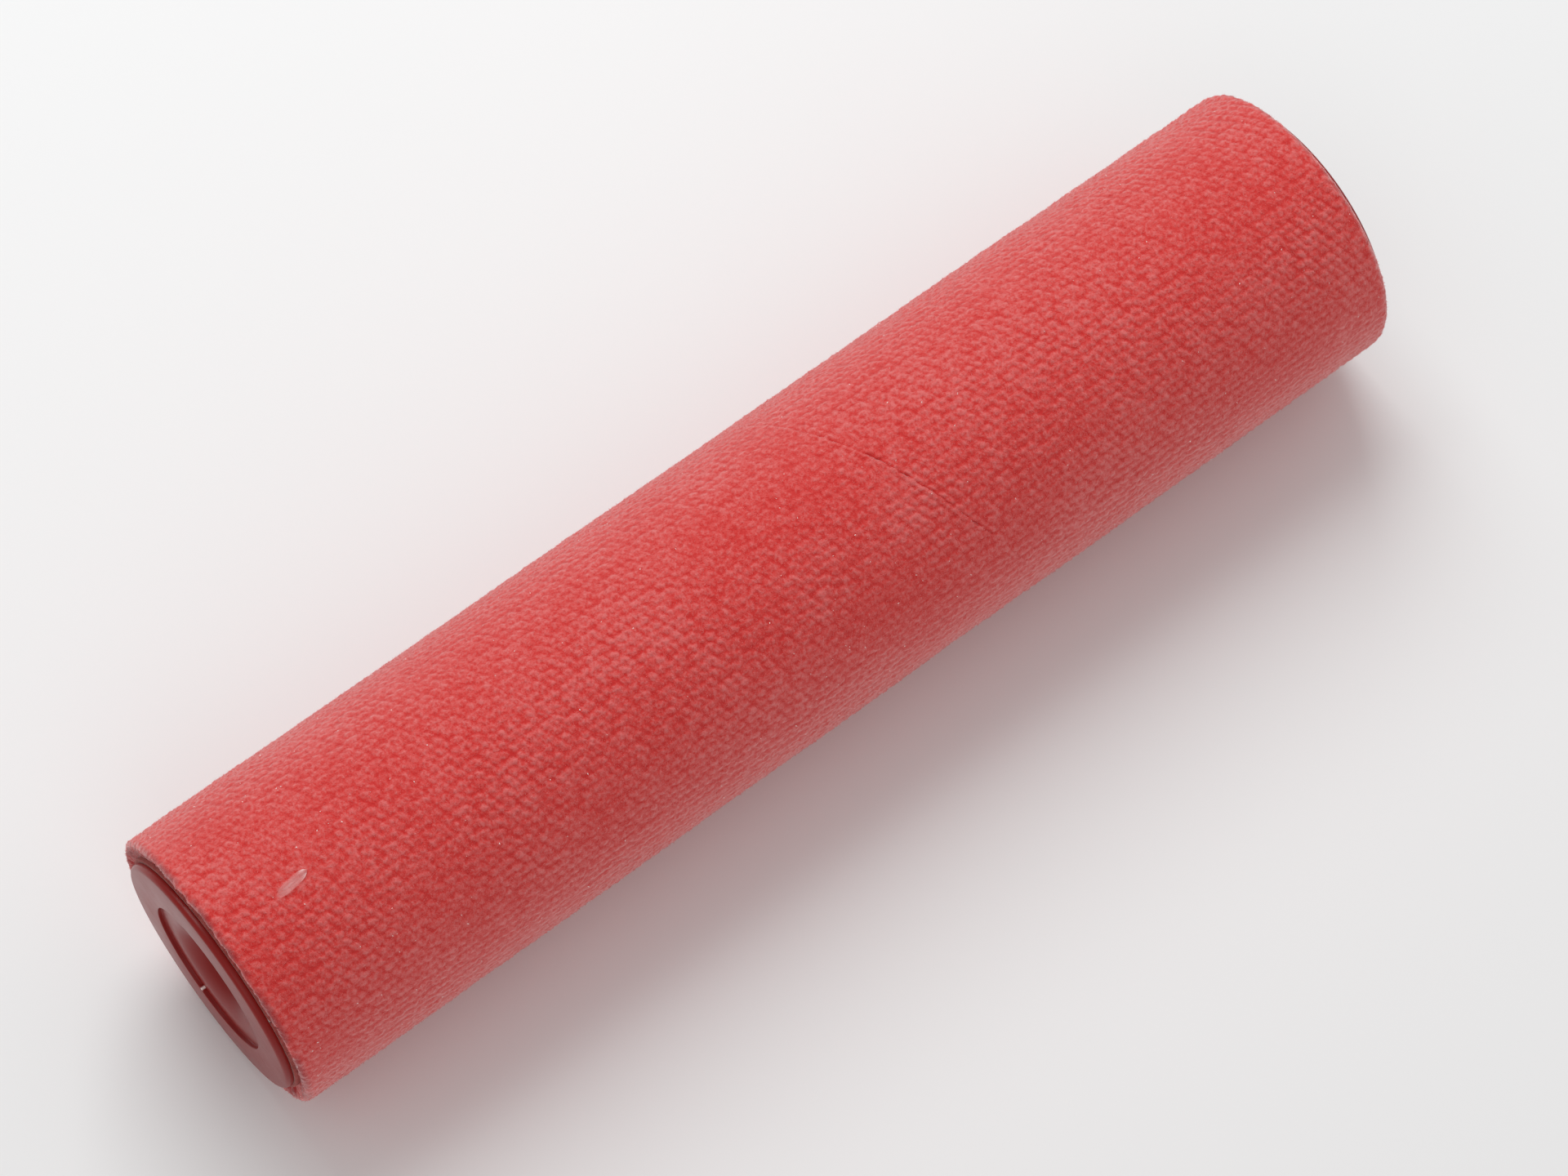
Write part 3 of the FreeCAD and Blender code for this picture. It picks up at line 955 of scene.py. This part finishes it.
shell = turned("shell", [
    (RECESS_RADIUS, RECESS_FLOOR, 0.15),
    (RECESS_RADIUS, 0.0, 0.18),
    (FLANGE_RADIUS, 0.0, 0.8),
    (FLANGE_RADIUS, FLANGE_BACK, 0.15),
    (SKIRT_OUTER, FLANGE_BACK, 0.1),
    (SKIRT_OUTER, SKIRT_END - 0.8, 0.5),
    (SKIRT_TIP, SKIRT_END, 0.2),
    (SKIRT_INNER, SKIRT_END, 0.3),
    (SKIRT_INNER, PLATE_BACK, 0.6),
    (FUNNEL_OUTER, PLATE_BACK, FUNNEL_OUTER_ROUND),
    (FUNNEL_OUTER, FUNNEL_END, 0.3),
    (HUB_OUTER, FUNNEL_END, 0.4),
    (HUB_OUTER, HUB_END, 0.3),
    (HUB_BORE, HUB_END, 0.3),
    (HUB_BORE, POCKET_FLOOR, 0.1),
    (POCKET_RADIUS, POCKET_FLOOR, 0.1),
    (POCKET_RADIUS, RECESS_FLOOR, FUNNEL_ROUND - 0.01),
])
FUNNEL_MIDDLE = (POCKET_RADIUS + FUNNEL_ROUND, RECESS_FLOOR + FUNNEL_ROUND)
FUNNEL_WALL_ROUND = 5.2
funnel_wall = [
    (
        FUNNEL_MIDDLE[0] - FUNNEL_WALL_ROUND * math.cos(math.radians(angle)),
        FUNNEL_MIDDLE[1] - FUNNEL_WALL_ROUND * math.sin(math.radians(angle)),
    )
    for angle in range(0, 91, 15)
]
web_corners = [(WEB_OUTER, WEB_FRONT), (WEB_OUTER, WEB_END), (WEB_INNER, WEB_END), (WEB_INNER + 0.3, 9.0)]
web = plate("web", funnel_wall + web_corners, WEB_THICKNESS, 0.1)
rib = plate("rib", [(21.3, 1.7), (RIB_OUTER, 1.7), (RIB_OUTER, 13.0), (21.3, 14.5)], RIB_THICKNESS, 0.12)
gate = turned(
    "gate", [(0.02, 0.04, 0.005), (GATE_RADIUS, 0.04, 0.22), (GATE_RADIUS, 1.5, 0.1), (0.02, 1.5, 0.005)]
)
gate.data.transform(Matrix.Translation((GATE_MIDDLE * MM, 0.0, 0.0)))
# Painted glint on the tip of the gate stub that stands into the recess.
GLINT_WIDTH = 0.34 * MM
GLINT_RADIUS = 15.3 * MM
gate_glint = gate.data.attributes.new("snapped", "FLOAT", "POINT")
for vertex in gate.data.vertices:
    aside = abs(vertex.co.z) / GLINT_WIDTH
    toward_recess = vertex.co.x < GLINT_RADIUS
    gate_glint.data[vertex.index].value = max(0.0, 1.0 - aside * aside) if toward_recess else 0.0
cap_inputs = {
    "Shell": shell, "Web": web, "Webs": WEB_COUNT, "Rib": rib, "Ribs": RIB_COUNT, "Gate": gate,
    "Material": cap_plastic,
}
cap_moulder = Machine("mould_cap", mould_cap, cap_inputs)
NEAR_CAP_TURN = 107
near_end = Matrix.Translation((0.0, -CAP_FACE, 0.0)) @ Matrix.Rotation(math.radians(NEAR_CAP_TURN), 4, "Y")
far_end = Matrix.Translation((0.0, CAP_FACE, 0.0)) @ Matrix.Rotation(math.pi, 4, "Z")
for end, placed in (("near", near_end), ("far", far_end)):
    cap = cap_moulder.make(f"cap_{end}", cap_inputs)
    cap.data.transform(placed)
    close_up(cap, 30)
    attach(cap, "roller")
    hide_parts(f"end_cap_{end}")
for pattern in (shell, web, rib, gate):
    bpy.data.objects.remove(pattern)


# --- Bearings ----------------------------------------------------------------------------------------
# A natural nylon bush in each cap: its collar sits in the bottom of the funnel and a lip, slotted in four
# so that it can give, snaps in behind the hub.

def natural_nylon(bench):
    """Cream nylon with the fine rings of a turned mould and a mottled tone."""
    place = bench.object_place()
    _, depth, _ = bench.parts(place)
    ring = bench.maths("SINE", depth * 21000.0) * 0.5 + 0.5
    mottle = bench.noise(place, 900.0, 2.0)
    colour = bench.blend(mottle, (0.640, 0.600, 0.500, 1.0), (0.720, 0.690, 0.610, 1.0))
    height = ring * 0.4 + mottle
    bump = bench.bumped(height, 0.25, 0.04 * MM)
    return {"Base Color": colour, "Roughness": 0.32 + mottle * 0.2, "Normal": bump}


bearing_plastic = finish_material("natural_nylon", natural_nylon, {"IOR": 1.53})
# Radii, depths in from the cap's outer face, and roundings, in millimetres.
AXLE_BORE = 4.1
BORE_CHAMFER = 0.4
BUSH_OUTER = 5.5
COLLAR_RADIUS = 6.4
COLLAR_FRONT = 6.85
COLLAR_BACK = 7.85
LIP_RADIUS = 6.0
LIP_FRONT = 15.55
LIP_BACK = 16.15
BUSH_END = 17.15
SLOT_START = 11.15
SLOT_WIDTH = 0.8
CUTTER_REACH = 7.2
CUTTER_END = 18.0
for end, placed in (("near", near_end), ("far", far_end)):
    bush = turned(f"bush_{end}", [
        (AXLE_BORE, COLLAR_FRONT + BORE_CHAMFER, 0.1),
        (AXLE_BORE + BORE_CHAMFER, COLLAR_FRONT, 0.1),
        (COLLAR_RADIUS, COLLAR_FRONT, 0.25),
        (COLLAR_RADIUS, COLLAR_BACK, 0.15),
        (BUSH_OUTER, COLLAR_BACK, 0.05),
        (BUSH_OUTER, LIP_FRONT, 0.05),
        (LIP_RADIUS, LIP_FRONT, 0.15),
        (LIP_RADIUS, LIP_BACK, 0.2),
        (BUSH_OUTER, BUSH_END, 0.2),
        (AXLE_BORE + BORE_CHAMFER, BUSH_END, 0.1),
        (AXLE_BORE, BUSH_END - BORE_CHAMFER, 0.1),
    ])
    close_up(bush, 30)
    for half_turn in (0, 1):
        slot_corners = [
            (-CUTTER_REACH, SLOT_START), (CUTTER_REACH, SLOT_START), (CUTTER_REACH, CUTTER_END),
            (-CUTTER_REACH, CUTTER_END),
        ]
        cutter = plate("cutter", slot_corners, SLOT_WIDTH, 0.02)
        cutter.data.transform(Matrix.Rotation(math.pi / 2 * half_turn, 4, "Y"))
        close_up(cutter, 30)
        cut_slot = bush.modifiers.new("slot", "BOOLEAN")
        cut_slot.operation = "DIFFERENCE"
        cut_slot.solver = "EXACT"
        cut_slot.object = cutter
        graph = bpy.context.evaluated_depsgraph_get()
        slotted = bpy.data.meshes.new_from_object(bush.evaluated_get(graph))
        bush.modifiers.remove(cut_slot)
        bush.data = slotted
        bpy.data.objects.remove(cutter)
    bush.data.materials.clear()
    bush.data.materials.append(bearing_plastic)
    bush.data.transform(placed)
    close_up(bush, 30)
    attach(bush, "bearings")
    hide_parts(f"bearing_{end}")


# --- Floor, light and camera -------------------------------------------------------------------------
# A plain pale floor under the roller, soft light from the upper left, and the camera.

FLOOR_REACH = 12.0
floor_mesh = bpy.data.meshes.new("floor")
floor_corners = [
    (x * FLOOR_REACH, y * FLOOR_REACH, -cover_radius) for x, y in ((-1, -1), (1, -1), (1, 1), (-1, 1))
]
floor_mesh.from_pydata(floor_corners, [], [(0, 1, 2, 3)])
floor = bpy.data.objects.new("floor", floor_mesh)
bpy.context.scene.collection.objects.link(floor)


def pale_paper(bench):
    place = bench.object_place()
    tone = bench.noise(place, 3.0, 2.0)
    return {"Base Color": bench.blend(tone, grey(0.84), grey(0.87))}


floor.data.materials.append(finish_material("pale_paper", pale_paper, {"Roughness": 0.9}))


def soft_box(name, place, width, power, colour):
    """A square soft light that faces the middle of the roller."""
    lamp = bpy.data.lights.new(name, "AREA")
    lamp.shape = "SQUARE"
    lamp.size = width
    lamp.energy = power
    lamp.color = colour
    holder = bpy.data.objects.new(name, lamp)
    holder.location = place
    holder.rotation_euler = (-Vector(place)).to_track_quat("-Z", "Y").to_euler()
    bpy.context.scene.collection.objects.link(holder)


KEY_POWER = 8.4
FILL_POWER = 1.5
soft_box("key_light", (-0.64, 0.25, 0.90), 0.8, KEY_POWER, (0.98, 1.02, 1.02))
soft_box("fill_light", (0.9, -0.5, 0.9), 0.9, FILL_POWER, (1.0, 0.92, 0.92))

world = bpy.data.worlds.new("studio")
world.use_nodes = True
background = world.node_tree.nodes["Background"]
background.inputs["Color"].default_value = (1.0, 0.98, 0.98, 1.0)
background.inputs["Strength"].default_value = 0.52
bpy.context.scene.world = world
bpy.context.scene.view_settings.view_transform = "Standard"

AZIMUTH = math.radians(52.25)
ELEVATION = math.radians(64.91)
DISTANCE = 1.0105
AIM = Vector((2.08, 1.19, 0.0)) * MM
camera_data = bpy.data.cameras.new("camera")
camera_data.sensor_width = 36.0
camera_data.lens = 126.5
camera_data.clip_start = 0.01
camera = bpy.data.objects.new("camera", camera_data)
back = Vector((
    math.sin(AZIMUTH) * math.cos(ELEVATION), -math.cos(AZIMUTH) * math.cos(ELEVATION), math.sin(ELEVATION)
))
camera.location = AIM + back * DISTANCE
camera.rotation_euler = (math.pi / 2 - ELEVATION, 0.0, AZIMUTH)
bpy.context.scene.collection.objects.link(camera)
bpy.context.scene.camera = camera
